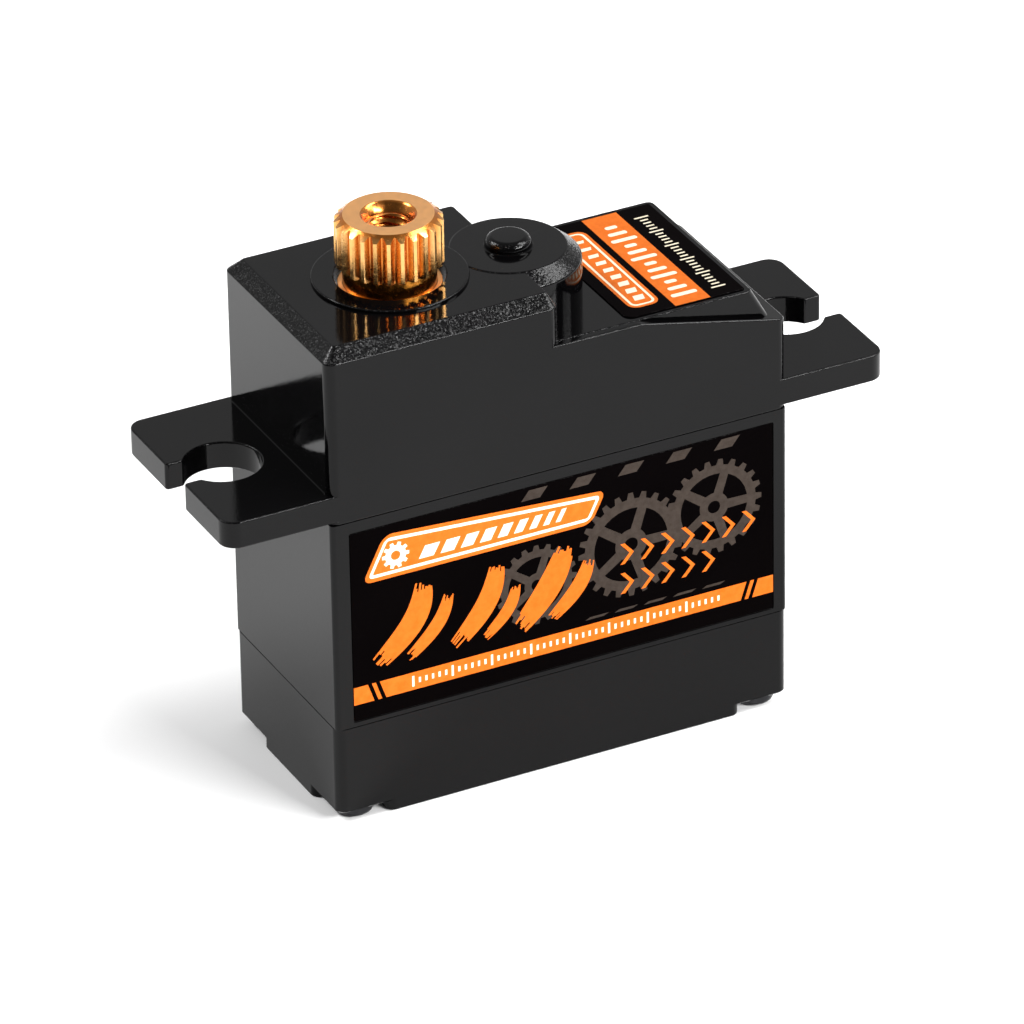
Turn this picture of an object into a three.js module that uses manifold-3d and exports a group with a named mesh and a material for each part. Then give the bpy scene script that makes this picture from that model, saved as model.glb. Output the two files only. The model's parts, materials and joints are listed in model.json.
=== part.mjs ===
// Metal-gear servo motor, 29.2 x 13.4 mm case. Millimetres, +Z up along the output shaft.
// Origin: centre of the case's underside. The output shaft stands towards -X; the large label faces -Y.
import * as THREE from "three";
import { mergeVertices } from "three/addons/utils/BufferGeometryUtils.js";
import { ConvexGeometry } from "three/addons/geometries/ConvexGeometry.js";
import Module from "manifold-3d";

const wasm = await Module();
wasm.setup();

// ---------------------------------------------------------------- driving dimensions
const halfLength = 14.6;
const halfWidth = 6.72;
const edgeRadius = 0.6;
const wall = 0.9;
const running = 0.06; // radial clearance of a turning fit
const snug = 0.02; // radial clearance of a fixed fit

// Heights of the case, from the underside up.
const footHeight = 0.65;
const coverSeam = 6.24;
const plateBottom = 18.3;
const caseSeam = 19.7;
const earBottom = 19.91;
const earTop = 21.61;
const deckTop = 27.6;
const padTop = 27.65;
const blockChamferFoot = 30;
const blockTop = 30.76;
const ringTop = 30.96;
const bossTop = 30.88;
const splineTop = 34.78;

// Mounting ears.
const earTip = 21.1;
const earCorner = 1;
const slotX = 18.1;
const slotRadius = 2.25;
const slotMouth = 1.2;

// Gear axes along X (all at y = 0): the centre distances follow from the tooth counts.
const outputX = -7.3;
const pinX = 0.2;
const motorX = 6.8;

// Gear train.
const fineModule = 0.3;
const coarseModule = 0.375;
const motorTeeth = 10;
const wheelTeeth = 34;
const pinionTeeth = 16;
const lastPinionTeeth = 13;
const outputTeeth = 27;
const pressureAngle = THREE.MathUtils.degToRad(25);
const backlash = 0.07;
const gear1Levels = [20.3, 21.5, 23.0];
const gear2Levels = [21.8, 23.0, 24.7];
const gear3Levels = [23.3, 24.6, 27.5];
const outputGearLevels = [25.0, 27.5];
const motorPinionLevels = [20.2, 22.0];

// Output shaft and its bearings.
const journalRadius = 3;
const journalTop = 30.85;
const neckRadius = 2.7;
const stubRadius = 1.5;
const stubBottom = 18.45;
const splineTeeth = 25;
const splineTip = 3.12;
const splineRoot = 2.8;
const splineFoot = 31.75;
const bearing = { outer: 5, pitch: 4, ball: 0.56, balls: 8, low: 27.86, high: 30.36 };

// Rooms inside the case: the gear room's roof steps down as the outside does.
const gearRoofs = { left: 27.7, middle: 26.2, right: 24.4 };
const caseRoomEnd = halfLength - 1.1;
const roomCorner = 0.4;
const coverFloor = 1.3;

// Case screws, potentiometer, motor.
const screwX = 13.05;
const screwY = 5.3;
const screwRadius = 0.7;
const screwClearance = 0.85;
const screwHead = 1.2;
const screwTop = 23;
const postRadius = 1.4;
const pinRadius = 0.75;
const potRadius = 4.3;
const potLevels = [12, plateBottom];
const motorRadius = 5.2;
const motorBottom = 7.2;
const motorScrewY = 3.4;
const motorScrewRadius = 0.48;
const rotorRadius = 0.5;
const coreLevels = [10.5, 15.5];

// The large label: its edges along X and Z, and the Y of its back.
const labelEdges = [-13.45, 13.65, 6.58, 18.92];
const labelThickness = 0.09;
const labelBack = -halfWidth + 0.12;

// Control board.
const boardLevels = [2.6, 3.4];
const boardHalfLength = 11.3;
const boardHalfWidth = 5.2;

// ---------------------------------------------------------------- materials
const finish = (color, roughness, metalness) =>
  new THREE.MeshStandardMaterial({ color, roughness, metalness });
const blackPlastic = finish(0x17171a, 0.32, 0);
const labelFilm = finish(0x0d0b0c, 0.4, 0);
const goldBrass = finish(0xe0a545, 0.22, 1);
const gearBrass = finish(0xb98d43, 0.35, 1);
const steel = finish(0xa9adb2, 0.28, 1);
const blackSteel = finish(0x26272a, 0.4, 0.9);
const magnetGrey = finish(0x4a4a4d, 0.6, 0.4);
const copper = finish(0xb06538, 0.4, 0.9);
const bluePlastic = finish(0x274a86, 0.5, 0);
const creamPlastic = finish(0xd8cfb8, 0.55, 0);
const boardGreen = finish(0x1d4d2c, 0.5, 0);
const chipBlack = finish(0x1a1a1a, 0.55, 0);
const capacitorTan = finish(0xc8923a, 0.5, 0);

// ---------------------------------------------------------------- solids
// A closed three.js geometry as a solid that can be joined and cut.
function solid(geometry) {
  const loose = geometry.index ? geometry.toNonIndexed() : geometry;
  const plain = new THREE.BufferGeometry();
  plain.setAttribute("position", loose.getAttribute("position"));
  const merged = mergeVertices(plain, 1e-4);
  const corners = merged.index.array;
  const triangles = [];
  for (let i = 0; i < corners.length; i += 3) {
    const [a, b, c] = corners.subarray(i, i + 3);
    if (a !== b && b !== c && c !== a) triangles.push(a, b, c);
  }
  const build = (order) =>
    new wasm.Manifold(
      new wasm.Mesh({
        numProp: 3,
        vertProperties: new Float32Array(merged.getAttribute("position").array),
        triVerts: new Uint32Array(order),
      }),
    );
  const made = build(triangles);
  return made.volume() > 0 ? made : build(triangles.reverse());
}

// A rectangular block between two opposite corners.
function block([x0, y0, z0], [x1, y1, z1]) {
  const box = new THREE.BoxGeometry(x1 - x0, y1 - y0, z1 - z0);
  return solid(box.translate((x0 + x1) / 2, (y0 + y1) / 2, (z0 + z1) / 2));
}

// A round post standing at (x, y).
function post(x, y, radius, low, high, sides = 24) {
  const cylinder = new THREE.CylinderGeometry(radius, radius, high - low, sides);
  return solid(cylinder.rotateX(Math.PI / 2).translate(x, y, (low + high) / 2));
}

// A turned piece on a vertical axis at (x, 0), from [radius, height] pairs.
function turned(x, profile, sides = 24) {
  const points = profile.map(([radius, height]) => new THREE.Vector2(radius, height));
  return solid(new THREE.LatheGeometry(points, sides).rotateX(Math.PI / 2).translate(x, 0, 0));
}

// An outline in the XY plane raised between two heights.
function prism(outline, low, high, curveSegments = 8) {
  const options = { depth: high - low, bevelEnabled: false, curveSegments };
  return solid(new THREE.ExtrudeGeometry(outline, options).translate(0, 0, low));
}

// The points of a rounded rectangle at one height; `inset` pulls every side in.
function rectangleRing(x0, x1, halfY, radius, z, inset = 0) {
  const ring = [];
  const steps = 3;
  const centres = [
    [x1 - inset - radius, halfY - inset - radius],
    [x0 + inset + radius, halfY - inset - radius],
    [x0 + inset + radius, -halfY + inset + radius],
    [x1 - inset - radius, -halfY + inset + radius],
  ];
  centres.forEach(([x, y], corner) => {
    for (let step = 0; step <= steps; step += 1) {
      const angle = ((corner + step / steps) * Math.PI) / 2;
      ring.push(new THREE.Vector3(x + radius * Math.cos(angle), y + radius * Math.sin(angle), z));
    }
  });
  return ring;
}

const hull = (...rings) => solid(new ConvexGeometry(rings.flat()));
const join = (first, ...others) => others.reduce((sum, piece) => sum.add(piece), first);
const cut = (first, ...others) => others.reduce((rest, piece) => rest.subtract(piece), first);
const corners = [
  [-screwX, -screwY],
  [screwX, -screwY],
  [screwX, screwY],
  [-screwX, screwY],
];

// ---------------------------------------------------------------- gears
const involute = (angle) => Math.tan(angle) - angle;
const polar = (radius, angle) => new THREE.Vector2(radius * Math.cos(angle), radius * Math.sin(angle));

// The outline of a spur gear with one tooth centred on the direction `phase`.
function gearOutline(teeth, module, phase, boreRadius) {
  const pitch = (teeth * module) / 2;
  const base = pitch * Math.cos(pressureAngle);
  const tip = pitch + 0.9 * module;
  const root = pitch - 1.2 * module;
  const halfTooth = Math.PI / (2 * teeth) - backlash / (2 * pitch);
  const foot = Math.max(root, base);
  const flankRadii = teeth > 20 ? [foot, tip] : [foot, pitch, tip];
  const flank = flankRadii.map((radius) => {
    const angle = Math.acos(base / radius);
    return [radius, halfTooth + involute(pressureAngle) - involute(angle)];
  });
  if (root < base) flank.unshift([root, flank[0][1]]);
  const points = [];
  for (let tooth = 0; tooth < teeth; tooth += 1) {
    const centre = phase + (2 * Math.PI * tooth) / teeth;
    const rising = flank.map(([radius, offset]) => polar(radius, centre - offset));
    const falling = flank.map(([radius, offset]) => polar(radius, centre + offset));
    points.push(...rising, ...falling.reverse());
  }
  const outline = new THREE.Shape(points);
  if (boreRadius > 0) {
    const bore = new THREE.Path();
    bore.absarc(0, 0, boreRadius, 0, 2 * Math.PI, true);
    outline.holes.push(bore);
  }
  return outline;
}

// One ring of gear teeth round the vertical axis at x.
function gearRing(x, teeth, module, phase, boreRadius, low, high) {
  return prism(gearOutline(teeth, module, phase, boreRadius), low, high, 12).translate([x, 0, 0]);
}

const halfStep = (teeth) => Math.PI / teeth;

// A wheel with a smaller pinion on top, turning freely on its axle.
function compoundGear(x, axleRadius, levels, wheelPhase, pinionPhase, pinion) {
  const bore = axleRadius + running;
  const [low, middle, high] = levels;
  return join(
    gearRing(x, wheelTeeth, fineModule, wheelPhase, bore, low, middle),
    gearRing(x, pinion.teeth, pinion.module, pinionPhase, bore, middle, high),
  );
}

// ---------------------------------------------------------------- case
// A mounting ear on the +X side, with its open slot.
function earOutline() {
  const mouthAngle = Math.asin(slotMouth / slotRadius);
  const outline = new THREE.Shape();
  outline.moveTo(halfLength - wall, -halfWidth);
  outline.lineTo(earTip - earCorner, -halfWidth);
  outline.absarc(earTip - earCorner, -halfWidth + earCorner, earCorner, -Math.PI / 2, 0, false);
  outline.lineTo(earTip, -slotMouth);
  outline.absarc(slotX, 0, slotRadius, -mouthAngle, mouthAngle, true);
  outline.lineTo(earTip, slotMouth);
  outline.absarc(earTip - earCorner, halfWidth - earCorner, earCorner, 0, Math.PI / 2, false);
  outline.lineTo(halfLength - wall, halfWidth);
  outline.closePath();
  return outline;
}

// The outside of the gearbox case: sloping deck, high block, bosses and ears.
function upperCaseOutside() {
  const slopeStart = 5.2;
  const slopeEnd = 25.5;
  const deckHeight = (x) => {
    const along = Math.max(0, (x - slopeStart) / (halfLength - slopeStart));
    return deckTop - along * (deckTop - slopeEnd);
  };
  const base = rectangleRing(-halfLength, halfLength, halfWidth, edgeRadius, caseSeam);
  const lid = base.map((point) => new THREE.Vector3(point.x, point.y, deckHeight(point.x)));
  const breaks = [-halfWidth, halfWidth].map((y) => new THREE.Vector3(slopeStart, y, deckTop));
  const deck = hull(base, lid, breaks);

  const blockEnd = 0;
  const chamfer = 0.8;
  const endChamfer = 0.4;
  const highBlock = hull(
    rectangleRing(-halfLength, blockEnd, halfWidth, edgeRadius, caseSeam + 1),
    rectangleRing(-halfLength, blockEnd, halfWidth, edgeRadius, blockChamferFoot),
    rectangleRing(-halfLength + chamfer, blockEnd - endChamfer, halfWidth - chamfer, 0.2, blockTop),
  );

  const padHalfWidth = 6.25;
  const padCorner = 0.4;
  const pad = hull(
    rectangleRing(-1, 14.1, padHalfWidth, padCorner, 25),
    rectangleRing(-1, 12.6, padHalfWidth, padCorner, padTop),
  );
  const ring = post(outputX, 0, 4.52, blockTop - 1, ringTop, 40);
  const boss = turned(
    pinX,
    [
      [0, 24],
      [4.2, 24],
      [4.2, 30.1],
      [3.45, bossTop],
      [0, bossTop],
    ],
    40,
  );
  const button = turned(
    pinX,
    [
      [0, bossTop - 1],
      [1.38, bossTop - 1],
      [1.38, 31.2],
      [1.1, 31.5],
      [0, 31.5],
    ],
    24,
  );
  const ear = prism(earOutline(), earBottom, earTop);
  return join(deck, highBlock, pad, ring, boss, button, ear, ear.mirror([1, 0, 0]));
}

// The gearbox case: hollow below, with the bearing seat, the pin's blind hole and the screw posts.
function upperCase() {
  const inside = halfWidth - wall;
  const left = -halfLength + wall + 0.1;
  const cavity = (right, high) =>
    hull(
      rectangleRing(left, right, inside, roomCorner, caseSeam - 1),
      rectangleRing(left, right, inside, roomCorner, high),
    );
  const lastGearRoom = post(pinX, 0, 3.1, gear3Levels[0] - 1, gear3Levels[2] + 0.3);
  const gearRoom = join(
    cavity(halfLength - 1, gearRoofs.right),
    cavity(7, gearRoofs.middle),
    cavity(-1.2, gearRoofs.left),
    lastGearRoom,
  );
  const posts = corners.map(([x, y]) => post(x, y, 1.5, caseSeam, 28));
  const pilot = screwRadius + snug;
  const pilots = corners.map(([x, y]) => post(x, y, pilot, caseSeam - 1, screwTop + 0.5, 16));
  return cut(
    upperCaseOutside(),
    cut(gearRoom, ...posts),
    post(outputX, 0, bearing.outer + snug, 27.5, bearing.high),
    post(outputX, 0, journalRadius + 0.2, 30, 32),
    post(pinX, 0, pinRadius + snug, 27, 30.5, 16),
    ...pilots,
  );
}

// The middle section: a tube with the gear plate across its top and a shallow seat for the front label.
function middleCase() {
  const flush = 0.02;
  const outline = [-halfLength + flush, halfLength - flush, halfWidth - flush, edgeRadius];
  const outside = hull(rectangleRing(...outline, coverSeam), rectangleRing(...outline, caseSeam));
  const room = caseRoom(halfWidth - 1.05, coverSeam - 1, plateBottom);
  const posts = corners.map(([x, y]) => post(x, y, postRadius, coverSeam, plateBottom, 24));
  const screwHoles = corners.map(([x, y]) => post(x, y, screwClearance, coverSeam - 1, caseSeam + 1, 16));
  const looseHole = motorScrewRadius + 0.07;
  const motorScrewHoles = [-1, 1].map((side) => post(motorX, side * motorScrewY, looseHole, 18, 20, 16));
  const [x0, x1, z0, z1] = labelEdges;
  const edge = 0.05;
  const labelSeat = block([x0 - edge, -halfWidth - 1, z0 - edge], [x1 + edge, labelBack, z1 + edge]);
  return cut(
    outside,
    cut(room, ...posts),
    labelSeat,
    ...screwHoles,
    ...motorScrewHoles,
    post(motorX, 0, 1.6, 18, 20, 24),
    post(outputX, 0, 2.32, 18, 20),
    post(pinX, 0, pinRadius + snug, 18.6, 20, 16),
  );
}

// The rectangular room inside the case between two heights.
function caseRoom(halfRoomWidth, low, high) {
  return hull(
    rectangleRing(-caseRoomEnd, caseRoomEnd, halfRoomWidth, roomCorner, low),
    rectangleRing(-caseRoomEnd, caseRoomEnd, halfRoomWidth, roomCorner, high),
  );
}

// The bottom cover: a tray with a cross-shaped foot, so each screw head lies in a corner relief.
function bottomCover() {
  const outline = [-halfLength, halfLength, halfWidth, edgeRadius];
  const tray = hull(
    rectangleRing(...outline, footHeight, 0.2),
    rectangleRing(...outline, footHeight + 0.25),
    rectangleRing(...outline, coverSeam),
  );
  const bar = (halfX, halfY) =>
    hull(rectangleRing(-halfX, halfX, halfY, 0.5, 0), rectangleRing(-halfX, halfX, halfY, 0.5, 1));
  const foot = join(bar(11.45, halfWidth), bar(halfLength, 3.4));
  const roomHalfWidth = halfWidth - wall;
  const room = caseRoom(roomHalfWidth, coverFloor, coverSeam + 1);
  const posts = corners.map(([x, y]) => post(x, y, postRadius, 0, coverSeam, 24));
  const screwHoles = corners.map(([x, y]) => post(x, y, screwClearance, -1, coverSeam + 1, 16));
  const rib = (x) =>
    block([x - 0.4, -roomHalfWidth - 0.1, coverFloor - 0.1], [x + 0.4, roomHalfWidth + 0.1, boardLevels[0]]);
  const ribs = [-8, 8].map(rib);
  const shell = join(cut(join(tray, foot), cut(room, ...posts)), ...ribs);
  return cut(shell, cableInlet(), ...screwHoles);
}

// The slot in the +X wall where the flat three-wire lead enters.
function cableInlet() {
  const low = 3.9;
  const high = 5.3;
  const halfSlot = 2.1;
  const bend = (high - low) / 2;
  const outline = new THREE.Shape();
  outline.absarc(halfSlot - bend, 0, bend, -Math.PI / 2, Math.PI / 2, false);
  outline.absarc(-halfSlot + bend, 0, bend, Math.PI / 2, (3 * Math.PI) / 2, false);
  outline.closePath();
  const slot = prism(outline, 12, 16);
  return slot.rotate([90, 0, 90]).translate([0, 0, low + bend]);
}

// A long case screw, head down, with a cross recess.
function caseScrew(x, y) {
  const recess = [
    block([x - 0.7, y - 0.16, -1], [x + 0.7, y + 0.16, 0.4]),
    block([x - 0.16, y - 0.7, -1], [x + 0.16, y + 0.7, 0.4]),
  ];
  const head = post(x, y, screwHead, 0.03, footHeight, 20);
  const shank = post(x, y, screwRadius, footHeight, screwTop, 12);
  return cut(join(head, shank), ...recess);
}

// A flat label, from its outline's points in its own plane.
function labelSheet(points, thickness) {
  return prism(new THREE.Shape(points.map(([u, v]) => new THREE.Vector2(u, v))), 0, thickness);
}

// The large label on the -Y face, in its seat.
function frontLabel() {
  const [x0, x1, z0, z1] = labelEdges;
  const outline = [
    [x0, z0],
    [x1, z0],
    [x1, z1],
    [x0, z1],
  ];
  return labelSheet(outline, labelThickness).rotate([90, 0, 0]).translate([0, labelBack, 0]);
}

// The label on the pad, with the corners next to the second boss cut off.
function topLabel() {
  const [x0, x1, y0, y1] = [4.65, 12.25, -5.95, 5.85];
  const corner = 0.6;
  const outline = [
    [x0 + corner, y0],
    [x1, y0],
    [x1, y1],
    [x0 + corner, y1],
    [x0, y1 - corner],
    [x0, y0 + corner],
  ];
  return labelSheet(outline, 0.08).translate([0, 0, padTop]);
}

// ---------------------------------------------------------------- output shaft and bearing
// The spline: 25 ridges with a bevelled top.
function splineRidges() {
  const outline = [];
  const tipHalf = 0.16;
  const rootHalf = 0.36;
  const step = (2 * Math.PI) / splineTeeth;
  const ridge = [
    [splineRoot, -rootHalf],
    [splineTip, -tipHalf],
    [splineTip, tipHalf],
    [splineRoot, rootHalf],
  ];
  for (let tooth = 0; tooth < splineTeeth; tooth += 1) {
    outline.push(...ridge.map(([radius, share]) => polar(radius, (tooth + share) * step)));
  }
  const bevel = turned(outputX, [
    [0, splineFoot - 1],
    [4, splineFoot - 1],
    [4, splineTop - 0.98],
    [2.58, splineTop],
    [0, splineTop],
  ]);
  const ridges = prism(new THREE.Shape(outline), splineFoot, splineTop).translate([outputX, 0, 0]);
  return ridges.intersect(bevel);
}

// The output gear and shaft in one piece: lower stub, gear, shoulder, journal, neck and spline.
function outputGear() {
  const [low, high] = outputGearLevels;
  const shaft = turned(outputX, [
    [0, stubBottom],
    [stubRadius, stubBottom],
    [stubRadius, low],
    [3.5, low],
    [3.5, bearing.low],
    [journalRadius, bearing.low],
    [journalRadius, journalTop],
    [neckRadius, journalTop],
    [neckRadius, splineFoot + 0.4],
    [0, splineFoot + 0.4],
  ]);
  const teeth = gearRing(outputX, outputTeeth, coarseModule, halfStep(outputTeeth), 0, low, high);
  const holeRadius = 1.2;
  const mouthRadius = 1.58;
  const screwHole = turned(outputX, [
    [0, 28.5],
    [holeRadius, 28.9],
    [holeRadius, splineTop - 0.45],
    [mouthRadius, splineTop],
    [mouthRadius, splineTop + 1],
    [0, splineTop + 1],
  ]);
  const socket = dShaft(1, stubBottom - 1, 20.8);
  return cut(join(shaft, teeth, splineRidges()), screwHole, socket);
}

// A D-shaped shaft on the output axis.
function dShaft(radius, low, high) {
  const round = post(outputX, 0, radius, low, high, 20);
  return round.subtract(block([outputX - 3, radius * 0.6, low - 1], [outputX + 3, 3, high + 1]));
}

// One ring of the ball bearing, from its plain radius, its land radius and the groove's radius.
function bearingRing(plain, land) {
  const middle = (bearing.low + bearing.high) / 2;
  const side = Math.sign(land - bearing.pitch);
  const groove = [];
  for (const angle of [-45, -20, 20, 45].map(THREE.MathUtils.degToRad)) {
    groove.push([
      bearing.pitch + side * (bearing.ball + running) * Math.cos(angle),
      middle + (bearing.ball + running) * Math.sin(angle),
    ]);
  }
  const inGroove = groove.filter(([radius]) => side * (radius - land) > 0);
  return turned(outputX, [
    [plain, bearing.low],
    [land, bearing.low],
    [land, inGroove[0][1] - 0.15],
    ...inGroove,
    [land, inGroove.at(-1)[1] + 0.15],
    [land, bearing.high],
    [plain, bearing.high],
    [plain, bearing.low],
  ]);
}

const ballPlaces = Array.from({ length: bearing.balls }, (_, index) => {
  const angle = (2 * Math.PI * index) / bearing.balls;
  return [outputX + bearing.pitch * Math.cos(angle), bearing.pitch * Math.sin(angle)];
});

function ball([x, y], radius) {
  const sphere = new THREE.SphereGeometry(radius, 8, 6).rotateX(Math.PI / 2);
  return solid(sphere.translate(x, y, (bearing.low + bearing.high) / 2));
}

// The crown cage that spaces the balls.
function bearingCage() {
  const low = bearing.low + 0.3;
  const profile = [
    [3.66, low],
    [4.34, low],
    [4.34, low + 1.1],
    [3.66, low + 1.1],
    [3.66, low],
  ];
  const pockets = ballPlaces.map(([x, y]) => post(x, y, 0.66, low + 0.25, low + 2, 12));
  return cut(turned(outputX, profile), ...pockets);
}

// ---------------------------------------------------------------- motor
function motorCan() {
  const shell = cut(
    post(motorX, 0, motorRadius, motorBottom, plateBottom),
    post(motorX, 0, motorRadius - 0.45, motorBottom - 1, plateBottom - 0.5),
  );
  const nose = post(motorX, 0, 1.5, plateBottom - 0.2, 19.1, 24);
  const screwHole = (side) => post(motorX, side * motorScrewY, motorScrewRadius + 0.04, 17, 20, 16);
  const shaftHole = post(motorX, 0, rotorRadius + running, 17, 20, 20);
  return cut(join(shell, nose), screwHole(-1), screwHole(1), shaftHole);
}

// A curved magnet against the can's wall; side is +1 or -1 along X.
function motorMagnet(side) {
  const outline = new THREE.Shape();
  const reach = THREE.MathUtils.degToRad(62);
  outline.absarc(0, 0, 4.66, -reach, reach, false);
  outline.absarc(0, 0, 3.75, reach, -reach, true);
  outline.closePath();
  const magnet = prism(outline, 9.6, 16.6, 10);
  return (side > 0 ? magnet : magnet.mirror([1, 0, 0])).translate([motorX, 0, 0]);
}

// The end cap that holds the brushes and the lower end of the shaft.
function motorEndCap() {
  const disc = post(motorX, 0, motorRadius - 0.5, motorBottom, motorBottom + 1);
  const slot = block([motorX - 0.45, 3.05, 7], [motorX + 0.45, 3.45, 9]);
  return cut(disc, slot, slot.mirror([0, 1, 0]), post(motorX, 0, rotorRadius + running, 7.5, 9, 20));
}

// A brush and its terminal, which runs down to the control board; side is +1 or -1 along Y.
function motorBrush(side) {
  const terminal = block([motorX - 0.4, 3.1, boardLevels[1]], [motorX + 0.4, 3.4, 9.2]);
  const arm = block([motorX - 0.4, 1.38, 8.8], [motorX + 0.4, 3.4, 9.2]);
  const brush = join(terminal, arm);
  return side > 0 ? brush : brush.mirror([0, 1, 0]);
}

function motorScrew(side) {
  const y = side * motorScrewY;
  const head = post(motorX, y, 0.9, caseSeam, 20.1, 16);
  const shank = post(motorX, y, motorScrewRadius, 17.9, caseSeam, 12);
  const slot = block([motorX - 1, y - 0.12, 19.98], [motorX + 1, y + 0.12, 21]);
  return cut(join(head, shank), slot);
}

// The three-pole laminated core.
function armature() {
  const [low, high] = coreLevels;
  const hub = post(motorX, 0, 1.1, low, high, 24);
  const poles = [];
  for (let pole = 0; pole < 3; pole += 1) {
    const shoe = new THREE.Shape();
    const reach = THREE.MathUtils.degToRad(44);
    shoe.absarc(0, 0, 3.4, -reach, reach, false);
    shoe.absarc(0, 0, 2.75, reach, -reach, true);
    shoe.closePath();
    const arm = join(prism(shoe, low, high, 6), block([0.5, -0.45, low], [3, 0.45, high]));
    poles.push(arm.rotate([0, 0, 120 * pole]).translate([motorX, 0, 0]));
  }
  return cut(join(hub, ...poles), post(motorX, 0, rotorRadius + snug, low - 1, high + 1, 16));
}

// The winding round one pole.
function coil(pole) {
  const [low, high] = coreLevels;
  const turns = 0.6;
  const winding = cut(
    block([1.3, -1.1, low - turns], [2.4, 1.1, high + turns]),
    block([1, -0.5, low - 0.1], [3, 0.5, high + 0.1]),
  );
  return winding.rotate([0, 0, 120 * pole]).translate([motorX, 0, 0]);
}

// ---------------------------------------------------------------- assembly
const servo = new THREE.Group();

function add(name, shape, material) {
  const { vertProperties, triVerts } = shape.getMesh();
  const geometry = new THREE.BufferGeometry();
  geometry.setAttribute("position", new THREE.BufferAttribute(vertProperties, 3));
  geometry.setIndex(new THREE.BufferAttribute(triVerts, 1));
  const faceted = geometry.toNonIndexed();
  faceted.computeVertexNormals();
  const mesh = new THREE.Mesh(faceted, material);
  mesh.name = name;
  servo.add(mesh);
}

function addCase() {
  add("upper_case", upperCase(), blackPlastic);
  add("middle_case", middleCase(), blackPlastic);
  add("bottom_cover", bottomCover(), blackPlastic);
  corners.forEach(([x, y], index) => {
    add(`case_screw_${index + 1}`, caseScrew(x, y), blackSteel);
  });
  add("front_label", frontLabel(), labelFilm);
  add("top_label", topLabel(), labelFilm);
}

function addGears() {
  const fine = { teeth: pinionTeeth, module: fineModule };
  const coarse = { teeth: lastPinionTeeth, module: coarseModule };
  const half = halfStep(wheelTeeth);
  add("gear_1", compoundGear(pinX, pinRadius, gear1Levels, half, Math.PI, fine), gearBrass);
  add("gear_2", compoundGear(outputX, stubRadius, gear2Levels, half, 0, fine), gearBrass);
  const thirdPhase = Math.PI + half;
  add("gear_3", compoundGear(pinX, pinRadius, gear3Levels, thirdPhase, Math.PI, coarse), gearBrass);
  const [low, high] = motorPinionLevels;
  const bore = rotorRadius + snug;
  add("motor_pinion", gearRing(motorX, motorTeeth, fineModule, Math.PI, bore, low, high), gearBrass);
  add("gear_pin", post(pinX, 0, pinRadius, 18.7, 30.4, 16), steel);
  const pinHole = post(pinX, 0, pinRadius + running, 19, 21, 16);
  add("pin_washer", cut(post(pinX, 0, 1.6, caseSeam, 20.2, 24), pinHole), steel);
  const stubHole = post(outputX, 0, stubRadius + running, 18, 23);
  const flange = post(outputX, 0, 2.9, caseSeam, 20);
  const sleeve = post(outputX, 0, 2.3, plateBottom + 0.1, caseSeam);
  add("lower_bush", cut(join(sleeve, flange), stubHole), goldBrass);
  add("gear_spacer", cut(post(outputX, 0, 1.9, 20, 21.6), stubHole), goldBrass);
}

function addOutput() {
  add("output_gear", outputGear(), goldBrass);
  add("bearing_inner_ring", bearingRing(journalRadius + snug, 3.5), steel);
  add("bearing_outer_ring", bearingRing(bearing.outer, 4.5), steel);
  add("bearing_cage", bearingCage(), steel);
  ballPlaces.forEach((place, index) => {
    add(`bearing_ball_${index + 1}`, ball(place, bearing.ball), steel);
  });
}

function addPotentiometer() {
  const [low, high] = potLevels;
  const hub = 1.2;
  const well = post(outputX, 0, hub + running, low + 1, high + 1, 24);
  add("pot_body", cut(post(outputX, 0, potRadius, low, high), well), bluePlastic);
  const rotor = join(post(outputX, 0, hub, low + 1.1, high, 20), dShaft(0.94, high - 0.5, 20.6));
  add("pot_rotor", rotor, creamPlastic);
  [-2, 0, 2].forEach((offset, index) => {
    const x = outputX + offset;
    const pin = block([x - 0.25, -2.6, boardLevels[1]], [x + 0.25, -2.35, low]);
    add(`pot_terminal_${index + 1}`, pin, steel);
  });
}

function addMotor() {
  add("motor_can", motorCan(), steel);
  add("motor_end_cap", motorEndCap(), creamPlastic);
  [1, -1].forEach((side, index) => {
    add(`motor_magnet_${index + 1}`, motorMagnet(side), magnetGrey);
    add(`motor_brush_${index + 1}`, motorBrush(side), copper);
    add(`motor_screw_${index + 1}`, motorScrew(side), blackSteel);
  });
  add("motor_shaft", post(motorX, 0, rotorRadius, motorBottom + 0.4, 22.1, 16), steel);
  add("armature", armature(), blackSteel);
  [0, 1, 2].forEach((pole) => add(`coil_${pole + 1}`, coil(pole), copper));
  const shaftHole = post(motorX, 0, rotorRadius + snug, 8, 10, 16);
  add("commutator", cut(post(motorX, 0, 1.3, 8.5, 9.7, 24), shaftHole), copper);
}

function addElectronics() {
  const [low, high] = boardLevels;
  const farCorner = [boardHalfLength, boardHalfWidth, high];
  add("control_board", block([-boardHalfLength, -boardHalfWidth, low], farCorner), boardGreen);
  add("control_chip", block([-4, -2, high], [0, 2, high + 0.9]), chipBlack);
  [-1, 1].forEach((side, index) => {
    const y = side * 3.4;
    add(`driver_chip_${index + 1}`, block([1.4, y - 1.2, high], [4.2, y + 1.2, high + 0.8]), chipBlack);
  });
  add("board_capacitor", block([8.3, 1.4, high], [10.3, 4.6, high + 1.6]), capacitorTan);
}

addCase();
addGears();
addOutput();
addPotentiometer();
addMotor();
addElectronics();

export default servo;
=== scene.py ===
"""Servo motor: the looks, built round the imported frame. Pieces are modelled in millimetres in the frame's
own axes and brought to metres when they are placed."""

import json
import math
import random

import bmesh
import bpy
from mathutils import Matrix, Vector
from mathutils.geometry import delaunay_2d_cdt


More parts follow.
